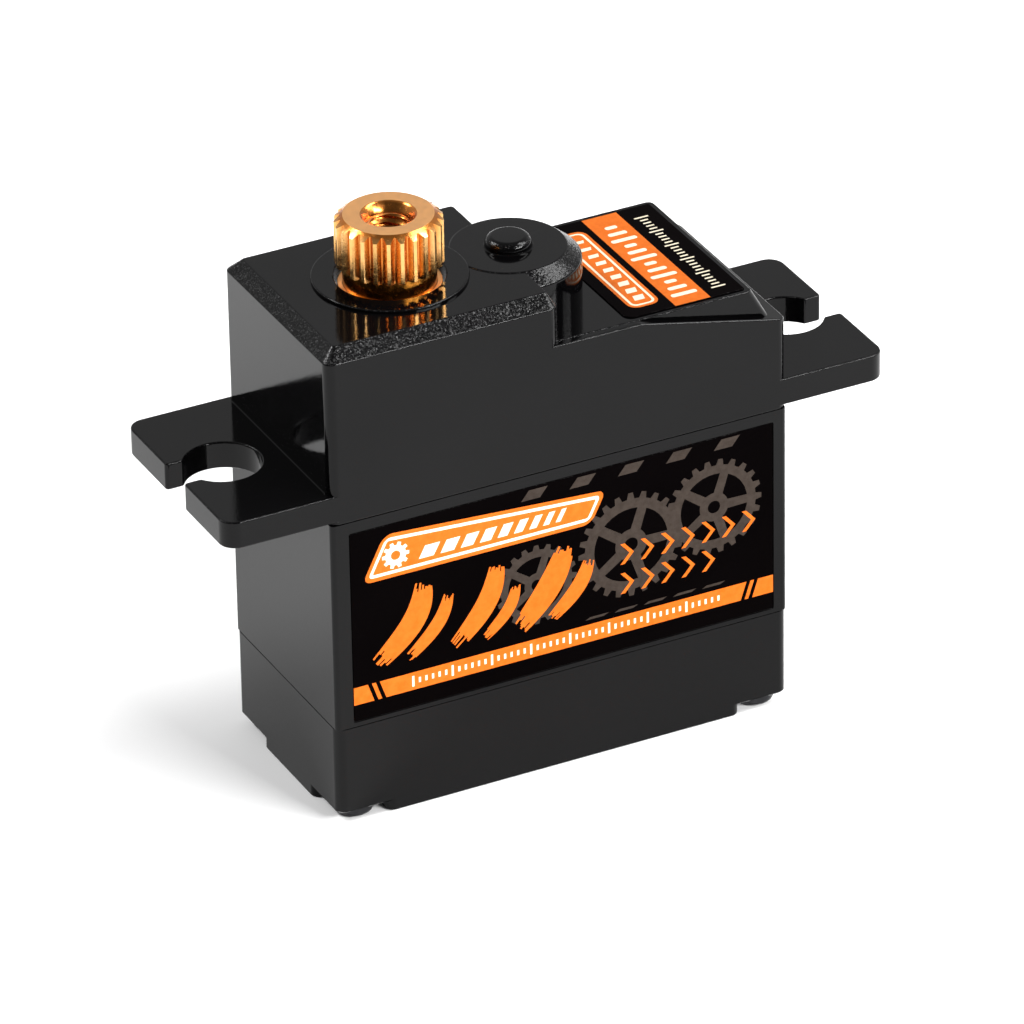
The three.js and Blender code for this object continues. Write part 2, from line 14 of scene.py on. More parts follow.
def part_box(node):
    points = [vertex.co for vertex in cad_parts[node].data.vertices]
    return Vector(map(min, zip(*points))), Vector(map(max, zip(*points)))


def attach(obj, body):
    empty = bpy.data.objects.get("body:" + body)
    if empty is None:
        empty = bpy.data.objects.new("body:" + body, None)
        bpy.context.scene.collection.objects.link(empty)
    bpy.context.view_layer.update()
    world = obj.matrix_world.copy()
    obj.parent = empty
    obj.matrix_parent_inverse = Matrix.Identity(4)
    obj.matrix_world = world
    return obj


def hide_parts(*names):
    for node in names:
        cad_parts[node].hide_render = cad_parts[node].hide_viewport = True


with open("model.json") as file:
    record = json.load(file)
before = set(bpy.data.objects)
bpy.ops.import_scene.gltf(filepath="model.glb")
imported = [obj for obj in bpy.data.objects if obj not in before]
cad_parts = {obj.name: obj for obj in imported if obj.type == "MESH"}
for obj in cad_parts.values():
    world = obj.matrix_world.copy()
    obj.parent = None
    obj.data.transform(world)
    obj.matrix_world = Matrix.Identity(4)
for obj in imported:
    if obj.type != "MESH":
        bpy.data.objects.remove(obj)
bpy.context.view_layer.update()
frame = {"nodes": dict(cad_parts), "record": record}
MM = 0.001


# ------------------------------------------------------------------ sizes, from the frame
def box_mm(node):
    low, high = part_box(node)
    return low / MM, high / MM


def middle_of(node):
    low, high = box_mm(node)
    return (low + high) / 2


upper_low, upper_high = box_mm("upper_case")
cover_high = box_mm("bottom_cover")[1]
shaft_low, shaft_high = box_mm("output_gear")
screw_low, screw_high = box_mm("case_screw_1")

EAR_TIP = upper_high.x
HALF_WIDTH = upper_high.y
HALF_LENGTH = cover_high.x
SEAM = upper_low.z
COVER_SEAM = cover_high.z
SPLINE_TOP = shaft_high.z
STUB_BOTTOM = shaft_low.z
SCREW_TOP = screw_high.z
OUTPUT_X = middle_of("output_gear").x
PIN_X = middle_of("gear_pin").x
MOTOR_X = middle_of("motor_can").x
SCREW_PLACES = [(middle_of(f"case_screw_{i}").x, middle_of(f"case_screw_{i}").y) for i in range(1, 5)]

EDGE_RADIUS = 0.6
FOOT = 0.65
WALL = 0.9
EAR_BOTTOM, EAR_TOP = 19.91, 21.61
EAR_CORNER = 1.0
SLOT_X, SLOT_RADIUS, SLOT_MOUTH = 18.1, 2.25, 1.2
DECK_TOP, PAD_TOP = 27.6, 27.65
SLOPE_START, SLOPE_END = 5.2, 25.5
CHAMFER_FOOT, BLOCK_TOP, BLOCK_END = 30.0, 30.76, 0.0
CHAMFER, END_CHAMFER = 0.8, 0.4
RING_TOP, RING_RADIUS, RING_HOLE = 30.96, 4.52, 3.2
BOSS_TOP, BOSS_DISC, BOSS_RADIUS, BOSS_CONE_FOOT = 30.83, 3.42, 4.2, 30.1
BUTTON_TOP, BUTTON_RADIUS = 31.5, 1.38
BEARING_LOW, BEARING_RADIUS, BEARING_TOP = 27.86, 5.02, 30.36
PLATE_BOTTOM = 18.3
SCREW_HOLE = 0.85
SOFT_EDGE, FINE_EDGE, FILM_EDGE = 0.11, 0.05, 0.02
SHARP_CORNERS = 60


# ------------------------------------------------------------------ mesh tools
def new_object(name, mesh):
    thing = bpy.data.objects.new(name, mesh)
    bpy.context.scene.collection.objects.link(thing)
    return thing


def from_bmesh(name, work):
    bmesh.ops.recalc_face_normals(work, faces=work.faces)
    mesh = bpy.data.meshes.new(name)
    work.to_mesh(mesh)
    work.free()
    return new_object(name, mesh)


def polar(radius, degrees, centre=(0, 0)):
    angle = math.radians(degrees)
    return centre[0] + radius * math.cos(angle), centre[1] + radius * math.sin(angle)


def arc(centre_x, centre_y, radius, start, end, steps):
    """Points along an arc, with angles in degrees."""
    return [
        polar(radius, start + (end - start) * step / steps, (centre_x, centre_y)) for step in range(steps + 1)
    ]


def rounded_rectangle(x0, x1, y0, y1, radius, steps=8):
    return (
        arc(x1 - radius, y1 - radius, radius, 0, 90, steps)
        + arc(x0 + radius, y1 - radius, radius, 90, 180, steps)
        + arc(x0 + radius, y0 + radius, radius, 180, 270, steps)
        + arc(x1 - radius, y0 + radius, radius, 270, 360, steps)
    )


def case_outline(half_x, half_y, radius=EDGE_RADIUS, steps=8):
    return rounded_rectangle(-half_x, half_x, -half_y, half_y, radius, steps)


def hull(name, *rings):
    """The convex solid round rings of points, with its flat faces whole."""
    work = bmesh.new()
    for ring in rings:
        for point in ring:
            work.verts.new(point)
    result = bmesh.ops.convex_hull(work, input=work.verts)
    loose = [v for v in result["geom_interior"] + result["geom_unused"] if isinstance(v, bmesh.types.BMVert)]
    bmesh.ops.delete(work, geom=list(set(loose)), context="VERTS")
    flatten(work)
    return from_bmesh(name, work)


def flatten(work, degrees=0.4):
    """Joins faces that lie in one plane."""
    bmesh.ops.dissolve_limit(work, angle_limit=math.radians(degrees), verts=work.verts, edges=work.edges)


def at_height(outline, z):
    return [(x, y, z) for x, y in outline]


def prism(name, outline, low, high):
    """An outline in the XY plane raised between two heights."""
    work = bmesh.new()
    add_prism(work, outline, low, high)
    return from_bmesh(name, work)


def add_prism(work, outline, low, high):
    bottom = [work.verts.new((x, y, low)) for x, y in outline]
    top = [work.verts.new((x, y, high)) for x, y in outline]
    work.faces.new(bottom)
    work.faces.new(top)
    for i in range(len(outline)):
        j = (i + 1) % len(outline)
        work.faces.new((bottom[i], bottom[j], top[j], top[i]))


def lathe(name, x, y, rows, steps):
    """Closes rings of vertices round the vertical through (x, y). rows gives, for a share of the turn, the
    (radius, height) pairs from the axis back to the axis, or round a closed loop."""
    work = bmesh.new()
    columns = []
    for step in range(steps):
        profile = rows(step / steps)
        closed = profile[0] == profile[-1]
        column = []
        for radius, z in profile[:-1] if closed else profile:
            if radius == 0 and columns:
                column.append(columns[0][len(column)])
            else:
                px, py = polar(radius, 360 * step / steps, (x, y))
                column.append(work.verts.new((px, py, z)))
        columns.append(column)
    count = len(columns[0])
    last = count if closed else count - 1
    for step in range(steps):
        near, far = columns[step], columns[(step + 1) % steps]
        for i in range(last):
            j = (i + 1) % count
            face = list(dict.fromkeys((near[i], far[i], far[j], near[j])))
            if len(face) > 2:
                work.faces.new(face)
    return from_bmesh(name, work)


def turned(name, x, profile, steps=96, y=0.0):
    """A solid of revolution about the vertical through (x, y), from (radius, height) pairs."""
    return lathe(name, x, y, lambda share: profile, steps)


def post(name, x, y, radius, low, high, steps=32):
    return turned(name, x, [(0, low), (radius, low), (radius, high), (0, high)], steps, y)


def bake(thing):
    """Applies every modifier."""
    bpy.context.view_layer.update()
    evaluated = thing.evaluated_get(bpy.context.evaluated_depsgraph_get())
    mesh = bpy.data.meshes.new_from_object(evaluated)
    thing.modifiers.clear()
    old = thing.data
    thing.data = mesh
    bpy.data.meshes.remove(old)
    return thing


def bevelled(thing, width, segments=3, degrees=28):
    """Rounds every edge that is sharper than the given angle."""
    modifier = thing.modifiers.new("edges", "BEVEL")
    modifier.width = width
    modifier.segments = segments
    modifier.limit_method = "ANGLE"
    modifier.angle_limit = math.radians(degrees)
    modifier.miter_outer = "MITER_SHARP"
    return bake(thing)


def combine(thing, operation, *others):
    """Joins to, cuts from or keeps the overlap of a closed solid, and removes the tools."""
    for other in others:
        modifier = thing.modifiers.new("join", "BOOLEAN")
        modifier.operation = operation
        modifier.solver = "MANIFOLD"
        modifier.object = other
        bake(thing)
        mesh = other.data
        bpy.data.objects.remove(other)
        bpy.data.meshes.remove(mesh)
    return thing


def clean(thing, degrees=0.4):
    work = bmesh.new()
    work.from_mesh(thing.data)
    bmesh.ops.remove_doubles(work, verts=work.verts, dist=0.0005)
    flatten(work, degrees)
    work.to_mesh(thing.data)
    work.free()
    return thing


def smooth(thing, degrees=40):
    """Smooth shading up to an angle, with the large faces kept flat."""
    for polygon in thing.data.polygons:
        polygon.use_smooth = True
    thing.data.set_sharp_from_angle(angle=math.radians(degrees))
    modifier = thing.modifiers.new("normals", "WEIGHTED_NORMAL")
    modifier.keep_sharp = True
    return bake(thing)


def place(thing, name, body, slot, material, *nodes):
    """Brings a finished piece to metres, gives it its material and hands it to the frame."""
    thing.name = name
    thing.data.name = name
    thing.data.transform(Matrix.Scale(MM, 4))
    thing.data.materials.clear()
    thing.data.materials.append(material)
    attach(thing, body)
    if nodes:
        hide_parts(*nodes)
    return thing


# ------------------------------------------------------------------ materials
def new_material(name):
    material = bpy.data.materials.new(name)
    material.use_nodes = True
    tree = material.node_tree
    return material, tree, tree.nodes["Principled BSDF"]


def noise(tree, scale, detail=3.0, roughness=0.6, stretch=(1, 1, 1)):
    """Noise in the object's own metres; a larger stretch makes the pattern finer along that axis."""
    place_node = tree.nodes.new("ShaderNodeTexCoord")
    mapping = tree.nodes.new("ShaderNodeMapping")
    mapping.inputs["Scale"].default_value = stretch
    tree.links.new(place_node.outputs["Object"], mapping.inputs["Vector"])
    made = tree.nodes.new("ShaderNodeTexNoise")
    made.inputs["Scale"].default_value = scale
    made.inputs["Detail"].default_value = detail
    made.inputs["Roughness"].default_value = roughness
    tree.links.new(mapping.outputs["Vector"], made.inputs["Vector"])
    return made.outputs["Fac"]


def spread(tree, value, low, high, out_low, out_high):
    """Maps a value's range onto another."""
    made = tree.nodes.new("ShaderNodeMapRange")
    for key, number in zip(("From Min", "From Max", "To Min", "To Max"), (low, high, out_low, out_high)):
        made.inputs[key].default_value = number
    tree.links.new(value, made.inputs["Value"])
    return made.outputs["Result"]


def blend_colour(tree, factor, first, second, mode="MIX"):
    """Goes from the first colour to the second with the factor; the first may be numbers or a socket."""
    first_input, second_input, result = 6, 7, 2
    made = tree.nodes.new("ShaderNodeMix")
    made.data_type = "RGBA"
    made.blend_type = mode
    tree.links.new(factor, made.inputs["Factor"])
    if isinstance(first, tuple):
        made.inputs[first_input].default_value = (*first, 1)
    else:
        tree.links.new(first, made.inputs[first_input])
    made.inputs[second_input].default_value = (*second, 1)
    return made.outputs[result]


def bump(tree, shader, *layers):
    """Stacks bump layers, each a (height, strength, distance in metres)."""
    normal = None
    for height, strength, distance in layers:
        made = tree.nodes.new("ShaderNodeBump")
        made.inputs["Strength"].default_value = strength
        made.inputs["Distance"].default_value = distance
        tree.links.new(height, made.inputs["Height"])
        if normal:
            tree.links.new(normal, made.inputs["Normal"])
        normal = made.outputs["Normal"]
    tree.links.new(normal, shader.inputs["Normal"])
    return normal


def vector_maths(tree, operation, first, second=None, scale=None):
    """One vector node; first is a socket, second a socket or three numbers."""
    made = tree.nodes.new("ShaderNodeVectorMath")
    made.operation = operation
    tree.links.new(first, made.inputs[0])
    if isinstance(second, tuple):
        made.inputs[1].default_value = second
    elif second:
        tree.links.new(second, made.inputs[1])
    if scale:
        tree.links.new(scale, made.inputs["Scale"])
    return made.outputs["Vector"]


def sparkle(tree, shader, normal, amount, scale):
    """Tips the normal over tiny facets at random, as on a spark-eroded surface; returns a value per facet."""
    place_node = tree.nodes.new("ShaderNodeTexCoord")
    cells = tree.nodes.new("ShaderNodeTexVoronoi")
    cells.inputs["Scale"].default_value = scale
    tree.links.new(place_node.outputs["Object"], cells.inputs["Vector"])
    centred = vector_maths(tree, "SUBTRACT", cells.outputs["Color"], (0.5, 0.5, 0.5))
    tipped = vector_maths(tree, "ADD", normal, vector_maths(tree, "SCALE", centred, scale=amount))
    tree.links.new(vector_maths(tree, "NORMALIZE", tipped), shader.inputs["Normal"])
    shades = tree.nodes.new("ShaderNodeSeparateXYZ")
    tree.links.new(cells.outputs["Color"], shades.inputs["Vector"])
    return shades.outputs["X"]


def slant(tree):
    """A share that is 1 on chamfers and cones that look half upwards, and 0 on everything else."""
    geometry = tree.nodes.new("ShaderNodeNewGeometry")
    apart = tree.nodes.new("ShaderNodeSeparateXYZ")
    tree.links.new(geometry.outputs["Normal"], apart.inputs["Vector"])
    rising = spread(tree, apart.outputs["Z"], 0.45, 0.65, 0, 1)
    level = spread(tree, apart.outputs["Z"], 0.78, 0.9, 1, 0)
    return combined(tree, "MULTIPLY", rising, level)


def combined(tree, operation, *values):
    """One maths node on values that are sockets or numbers."""
    made = tree.nodes.new("ShaderNodeMath")
    made.operation = operation
    for socket, value in zip(made.inputs, values):
        if isinstance(value, (int, float)):
            socket.default_value = value
        else:
            tree.links.new(value, socket)
    return made.outputs["Value"]


def plastic(name, dark, light, gloss, grain=0.25, ior=1.25, sheen=1.0):
    """Moulded plastic: slow gloss changes, a little colour drift and fine surface noise, with a spark-eroded
    grain that is plain on slanting faces such as chamfers and very faint on the flats. On the slanting faces
    some facets are also painted paler, as painted glints."""
    material, tree, shader = new_material(name)
    drift = spread(tree, noise(tree, 90), 0.35, 0.65, 0, 1)
    patches = spread(tree, noise(tree, 260, 5), 0.3, 0.7, gloss * 0.8, gloss * 1.25)
    half_up = slant(tree)
    satin = combined(tree, "ADD", patches, combined(tree, "MULTIPLY", half_up, 0.16))
    tree.links.new(satin, shader.inputs["Roughness"])
    shader.inputs["IOR"].default_value = ior
    shader.inputs["Specular IOR Level"].default_value = 0.5 * sheen
    depth = 0.01 * MM
    waves = noise(tree, 500, 2)
    normal = bump(tree, shader, (noise(tree, 8000, 2), grain, depth), (waves, 0.1, depth))
    facet_tilt = spread(tree, half_up, 0, 1, 0.01, 0.22)
    facets = sparkle(tree, shader, normal, facet_tilt, 15000)
    colour = blend_colour(tree, drift, dark, light)
    # Painted glints: some facets on slanting faces are made paler grey.
    glint_facets = spread(tree, facets, 0.7, 0.95, 0, 0.07)
    painted_glints = combined(tree, "MULTIPLY", glint_facets, half_up)
    glint_grey = (0.3, 0.3, 0.3)
    tree.links.new(blend_colour(tree, painted_glints, colour, glint_grey), shader.inputs["Base Color"])
    return material


def metal(name, dark, light, gloss, scratch=0.25, stretch=(1, 1, 1)):
    """Machined metal: fine turning marks and stains in the gloss."""
    material, tree, shader = new_material(name)
    shader.inputs["Metallic"].default_value = 1
    drift = spread(tree, noise(tree, 400, 4), 0.3, 0.7, 0, 1)
    tree.links.new(blend_colour(tree, drift, dark, light), shader.inputs["Base Color"])
    patches = spread(tree, noise(tree, 1500, 4), 0.3, 0.7, gloss * 0.7, gloss * 1.35)
    tree.links.new(patches, shader.inputs["Roughness"])
    bump(tree, shader, (noise(tree, 4000, 3, stretch=stretch), scratch, 0.000005))
    return material


def shaft_brass():
    """Bright brass for the output shaft: polished flanks, painted shade that makes the hollows between the
    teeth darker and redder, a greener tint painted on the sides under the teeth to copy the light there, and
    a matt end face that is painted brighter and more orange to copy the light on it."""
    material, tree, shader = new_material("spline_brass")
    shader.inputs["Metallic"].default_value = 1
    drift = spread(tree, noise(tree, 700, 4), 0.3, 0.7, 0, 1)
    sides = blend_colour(tree, drift, (0.7, 0.37, 0.11), (0.78, 0.44, 0.17))
    where = tree.nodes.new("ShaderNodeTexCoord")
    from_axis = vector_maths(tree, "SUBTRACT", where.outputs["Object"], (OUTPUT_X * MM, 0, 0))
    parts = tree.nodes.new("ShaderNodeSeparateXYZ")
    tree.links.new(from_axis, parts.inputs["Vector"])
    squares = [combined(tree, "MULTIPLY", parts.outputs[axis], parts.outputs[axis]) for axis in "XY"]
    radius = combined(tree, "SQRT", combined(tree, "ADD", *squares))
    geometry = tree.nodes.new("ShaderNodeNewGeometry")
    facing = tree.nodes.new("ShaderNodeSeparateXYZ")
    tree.links.new(geometry.outputs["Normal"], facing.inputs["Vector"])
    upward = spread(tree, facing.outputs["Z"], 0.9, 0.98, 0, 1)
    sideways = combined(tree, "SUBTRACT", 1.0, upward)
    groove_depth = spread(tree, radius, 2.78 * MM, 3.08 * MM, 1, 0)
    under_teeth = spread(tree, parts.outputs["Z"], 31.68 * MM, 31.78 * MM, 1, 0)
    groove_shade = combined(tree, "MULTIPLY", groove_depth, sideways)
    painted_under_teeth = combined(tree, "MULTIPLY", under_teeth, sideways)
    groove_shade_tint, under_teeth_light_tint, lit_end_face_colour = (0.76, 0.48, 0.28), (0.9, 1.0, 0.7), (0.9, 0.47, 0.185)
    # Painted shade: the sides in the hollows between the teeth are darkened and reddened.
    colour = blend_colour(tree, groove_shade, sides, groove_shade_tint, "MULTIPLY")
    # Painted tint: the sides under the teeth are made greener to copy the colour of the light there.
    colour = blend_colour(tree, painted_under_teeth, colour, under_teeth_light_tint, "MULTIPLY")
    # The upward end face is painted brighter and more orange to copy the light on it; its extra roughness is
    # real.
    tree.links.new(blend_colour(tree, upward, colour, lit_end_face_colour), shader.inputs["Base Color"])
    wear = spread(tree, noise(tree, 3000, 4), 0.3, 0.7, 0.14, 0.3)
    matt_end = combined(tree, "MULTIPLY", upward, 0.2)
    tree.links.new(combined(tree, "ADD", wear, matt_end), shader.inputs["Roughness"])
    bump(tree, shader, (noise(tree, 7000, 3, stretch=(1, 1, 2.5)), 0.35, 0.00001))
    return material


def ink(name, dark, light, gloss=0.35):
    """Printed ink on the label film: a slight mottle under a thin laminate."""
    material, tree, shader = new_material(name)
    mottle = spread(tree, noise(tree, 2500, 4, 0.7), 0.35, 0.65, 0, 1)
    tree.links.new(blend_colour(tree, mottle, dark, light), shader.inputs["Base Color"])
    patches = spread(tree, noise(tree, 700, 3), 0.3, 0.7, gloss * 0.85, gloss * 1.15)
    tree.links.new(patches, shader.inputs["Roughness"])
    shader.inputs["IOR"].default_value = 1.2
    bump(tree, shader, (noise(tree, 1200, 2), 0.1, 0.00001))
    return material


def paint_frame_nodes(by_slot):
    """Gives each shown frame node the material of its record slot."""
    slots = {part["node"]: part["material_slot"] for part in frame["record"]["subparts"]}
    for name, thing in frame["nodes"].items():
        thing.data.materials.clear()
        thing.data.materials.append(by_slot[slots[name]])


# ------------------------------------------------------------------ upper case
def ear_outline():
    mouth = math.degrees(math.asin(SLOT_MOUTH / SLOT_RADIUS))
    lip = 0.22
    inner = HALF_LENGTH - WALL
    return (
        [(inner, -HALF_WIDTH)]
        + arc(EAR_TIP - EAR_CORNER, -HALF_WIDTH + EAR_CORNER, EAR_CORNER, -90, 0, 12)
        + arc(EAR_TIP - lip, -SLOT_MOUTH - lip, lip, 0, 90, 6)
        + arc(SLOT_X, 0, SLOT_RADIUS, -mouth, mouth - 360, 64)
        + arc(EAR_TIP - lip, SLOT_MOUTH + lip, lip, 270, 360, 6)
        + arc(EAR_TIP - EAR_CORNER, HALF_WIDTH - EAR_CORNER, EAR_CORNER, 0, 90, 12)
        + [(inner, HALF_WIDTH)]
    )


def ear(side):
    outline = [(side * x, y) for x, y in ear_outline()]
    return bevelled(prism("ear", outline, EAR_BOTTOM, EAR_TOP), SOFT_EDGE)


def ear_fillet(side):
    """The small fillet where the ear's top meets the case's end."""
    size, sink = 0.1, 0.1
    wall = side * HALF_LENGTH
    half = HALF_WIDTH - EDGE_RADIUS
    section = [
        (wall - side * sink, EAR_TOP - sink),
        (wall - side * sink, EAR_TOP + size),
        (wall, EAR_TOP + size),
        (wall + side * size * 0.3, EAR_TOP + size * 0.3),
        (wall + side * size, EAR_TOP),
        (wall + side * size, EAR_TOP - sink),
    ]
    rings = [[(x, y, z) for x, z in section] for y in (-half, half)]
    return loft("ear_fillet", rings)


def loft(name, rings):
    """A closed solid through rings of equal length."""
    work = bmesh.new()
    made = [[work.verts.new(point) for point in ring] for ring in rings]
    count = len(made[0])
    for near, far in zip(made, made[1:]):
        for i in range(count):
            j = (i + 1) % count
            work.faces.new((near[i], near[j], far[j], far[i]))
    work.faces.new(made[0])
    work.faces.new(made[-1])
    return from_bmesh(name, work)


def deck():
    outline = case_outline(HALF_LENGTH, HALF_WIDTH)

    def height(x):
        along = max(0.0, (x - SLOPE_START) / (HALF_LENGTH - SLOPE_START))
        return DECK_TOP - along * (DECK_TOP - SLOPE_END)

    top = [(x, y, height(x)) for x, y in outline]
    breaks = [(SLOPE_START, y, DECK_TOP) for y in (-HALF_WIDTH, HALF_WIDTH)]
    return bevelled(hull("deck", at_height(outline, SEAM), top, breaks), SOFT_EDGE, degrees=12)


def high_block():
    def ring(inset, end_inset, radius, z):
        outline = rounded_rectangle(
            -HALF_LENGTH + inset,
            BLOCK_END - end_inset,
            -HALF_WIDTH + inset,
            HALF_WIDTH - inset,
            radius,
        )
        return at_height(outline, z)

    body = hull(
        "high_block",
        ring(0, 0, EDGE_RADIUS, SEAM + 1),
        ring(0, 0, EDGE_RADIUS, CHAMFER_FOOT),
        ring(CHAMFER, END_CHAMFER, 0.2, BLOCK_TOP),
    )
    return bevelled(body, FINE_EDGE, segments=2)


def pad():
    """The slightly raised seat of the top label."""
    half, corner, edge = 6.25, 0.4, 0.09
    foot_x, top_x, start_x, foot_z = 14.1, 12.6, -1, 25
    body = hull(
        "pad",
        at_height(rounded_rectangle(start_x, foot_x, -half, half, corner), foot_z),
        at_height(rounded_rectangle(start_x, top_x, -half, half, corner), PAD_TOP),
    )
    return bevelled(body, edge)


def shaft_ring():
    edge, sunk = 0.1, 29
    profile = [(0, sunk), (RING_RADIUS, sunk)]
    profile += arc(RING_RADIUS - edge, RING_TOP - edge, edge, 0, 90, 4) + [(0, RING_TOP)]
    return turned("shaft_ring", OUTPUT_X, profile, 128)


def pin_boss():
    foot, rim, sunk = 0.25, 0.14, 24
    profile = [(0, sunk), (BOSS_RADIUS, sunk)]
    profile += arc(BOSS_RADIUS - foot, BOSS_CONE_FOOT - foot * 0.4, foot, 0, 45, 5)
    profile += arc(BOSS_DISC - rim, BOSS_TOP - rim, rim, 45, 90, 3) + [(0, BOSS_TOP)]
    return turned("pin_boss", PIN_X, profile, 128)


def pin_button():
    base, dome, sunk = 0.12, 0.55, 30
    profile = [(0, sunk), (BUTTON_RADIUS + base, sunk), (BUTTON_RADIUS + base, BOSS_TOP - 0.02)]
    profile += [(BUTTON_RADIUS + 0.02, BOSS_TOP + 0.04), (BUTTON_RADIUS, BOSS_TOP + 0.1)]
    profile += arc(BUTTON_RADIUS - dome, BUTTON_TOP - dome, dome, 0, 80, 9) + [(0, BUTTON_TOP)]
    return turned("pin_button", PIN_X, profile, 72)


def screw_posts(radius, low, high):
    return [post("post", x, y, radius, low, high) for x, y in SCREW_PLACES]


def gear_room():
    """The hollow for the gears, in three steps under the deck and the high block."""
    left = -HALF_LENGTH + 1
    half = HALF_WIDTH - WALL

    def room(right, high):
        outline = rounded_rectangle(left, right, -half, half, 0.4, 3)
        return prism("room", outline, SEAM - 1, high)

    pocket = post("pocket", PIN_X, 0, 3.1, 22, 27.8, 48)
    space = combine(room(HALF_LENGTH - 1, 24.4), "UNION", room(7, 26.2), room(-1.2, 27.7), pocket)
    return combine(space, "DIFFERENCE", *screw_posts(1.5, SEAM - 2, 29))


def shaft_bore():
    edge = 0.08
    profile = [(0, 27.5), (BEARING_RADIUS, 27.5), (BEARING_RADIUS, BEARING_TOP), (RING_HOLE, BEARING_TOP)]
    profile += [(RING_HOLE, RING_TOP - edge), (RING_HOLE + edge, RING_TOP), (RING_HOLE + edge, 32), (0, 32)]
    return turned("shaft_bore", OUTPUT_X, profile, 128)


def make_upper_case(material):
    shell = deck()
    sides = (1, -1)
    combine(shell, "UNION", high_block(), pad(), pin_boss(), shaft_ring(), pin_button())
    combine(shell, "UNION", *[ear(side) for side in sides], *[ear_fillet(side) for side in sides])
    pin_hole = post("pin_hole", PIN_X, 0, 0.78, 27, 30.5, 24)
    combine(shell, "DIFFERENCE", gear_room(), shaft_bore(), pin_hole, *screw_posts(0.72, SEAM - 1, 23.5))
    place(smooth(clean(shell)), "upper_case_shell", "housing", "case_plastic", material, "upper_case")


# ------------------------------------------------------------------ middle case
def case_room(half_x, half_y, low, high):
    return prism("room", case_outline(half_x, half_y, 0.4, 3), low, high)


def make_middle_case(material):
    flush, corner = 0.02, 0.3
    outline = case_outline(HALF_LENGTH - flush, HALF_WIDTH - flush, corner)
    shell = bevelled(prism("middle", outline, COVER_SEAM, SEAM), FINE_EDGE, 2, SHARP_CORNERS)
    label_low, label_high = box_mm("front_label")
    margin = 0.05
    seat_outline = rounded_rectangle(
        label_low.x - margin, label_high.x + margin, label_low.z - margin, label_high.z + margin, 0.12, 4
    )
    seat = stand(prism("seat", seat_outline, -label_high.y, HALF_WIDTH + 1))
    room = case_room(HALF_LENGTH - 1.1, HALF_WIDTH - 1.05, COVER_SEAM - 1, PLATE_BOTTOM)
    combine(room, "DIFFERENCE", *screw_posts(1.4, COVER_SEAM - 2, PLATE_BOTTOM + 1))
    motor_screws = [middle_of(f"motor_screw_{i}") for i in (1, 2)]
    holes = [post("hole", MOTOR_X, place_mm.y, 0.55, 18, 20, 24) for place_mm in motor_screws]
    holes.append(post("hole", MOTOR_X, 0, 1.6, 18, 20, 48))
    holes.append(post("hole", OUTPUT_X, 0, 2.32, 18, 20, 48))
    holes.append(post("hole", PIN_X, 0, 0.77, 18.6, 20, 24))
    combine(shell, "DIFFERENCE", room, seat, *holes, *screw_posts(SCREW_HOLE, COVER_SEAM - 1, SEAM + 1))
    place(smooth(clean(shell)), "middle_case_shell", "housing", "case_plastic", material, "middle_case")


def stand(thing):
    """Turns something drawn in XY so that its face looks along -Y and its Y runs up."""
    thing.data.transform(Matrix.Rotation(math.radians(90), 4, "X"))
    return thing


# ------------------------------------------------------------------ bottom cover and screws
def make_bottom_cover(material):
    tray = hull(
        "cover",
        at_height(case_outline(HALF_LENGTH - 0.12, HALF_WIDTH - 0.12, EDGE_RADIUS - 0.1), FOOT),
        at_height(case_outline(HALF_LENGTH, HALF_WIDTH), FOOT + 0.12),
        at_height(case_outline(HALF_LENGTH, HALF_WIDTH), COVER_SEAM),
    )
    tray = bevelled(tray, FINE_EDGE, 2, SHARP_CORNERS)

    def foot_bar(half_x, half_y):
        return bevelled(prism("foot", case_outline(half_x, half_y, 0.5, 6), 0, 1), 0.1, 3, SHARP_CORNERS)

    combine(tray, "UNION", foot_bar(11.45, HALF_WIDTH), foot_bar(HALF_LENGTH, 3.4))
    room = case_room(HALF_LENGTH - 1.1, HALF_WIDTH - WALL, 1.3, COVER_SEAM + 1)
    combine(room, "DIFFERENCE", *screw_posts(1.4, 0, COVER_SEAM + 2))
    combine(tray, "DIFFERENCE", room, cable_inlet())
    ribs = [prism("rib", rounded_rectangle(x - 0.4, x + 0.4, -5.9, 5.9, 0.1, 2), 1.2, 2.6) for x in (-8, 8)]
    combine(tray, "UNION", *ribs)
    combine(tray, "DIFFERENCE", *screw_posts(SCREW_HOLE, -1, COVER_SEAM + 1))
    place(smooth(clean(tray)), "bottom_cover_shell", "housing", "case_plastic", material, "bottom_cover")


def cable_inlet():
    """The rounded slot for the flat lead, widened a little at its mouth."""
    low, high, half = 3.9, 5.3, 2.1
    middle = (low + high) / 2
    bend = (high - low) / 2
    flare = 0.12

    def ring(x, grow):
        points = arc(half - bend, middle, bend + grow, -90, 90, 10)
        points += arc(-half + bend, middle, bend + grow, 90, 270, 10)
        return [(x, y, z) for y, z in points]

    wall = HALF_LENGTH
    return loft("inlet", [ring(12, 0), ring(wall - flare, 0), ring(wall, flare), ring(wall + 1, flare)])


def thread_rows(core, crest, pitch, low, high, edge=0.0):
    """Rows for a lathe that winds a helical thread between two heights."""
    samples = 6
    count = int((high - low) / pitch * samples)

    def rows(share):
        profile = [(0, low)]
        for i in range(count + 1):
            z = low + (high - low) * i / count
            turn = ((z - low) / pitch - share) % 1
            fade = min(1.0, (z - low) / pitch, (high - z) / pitch)
            depth = 1 - abs(2 * turn - 1)
            profile.append((core + (crest - core) * depth * max(fade, edge), z))
        return profile + [(0, high)]

    return rows


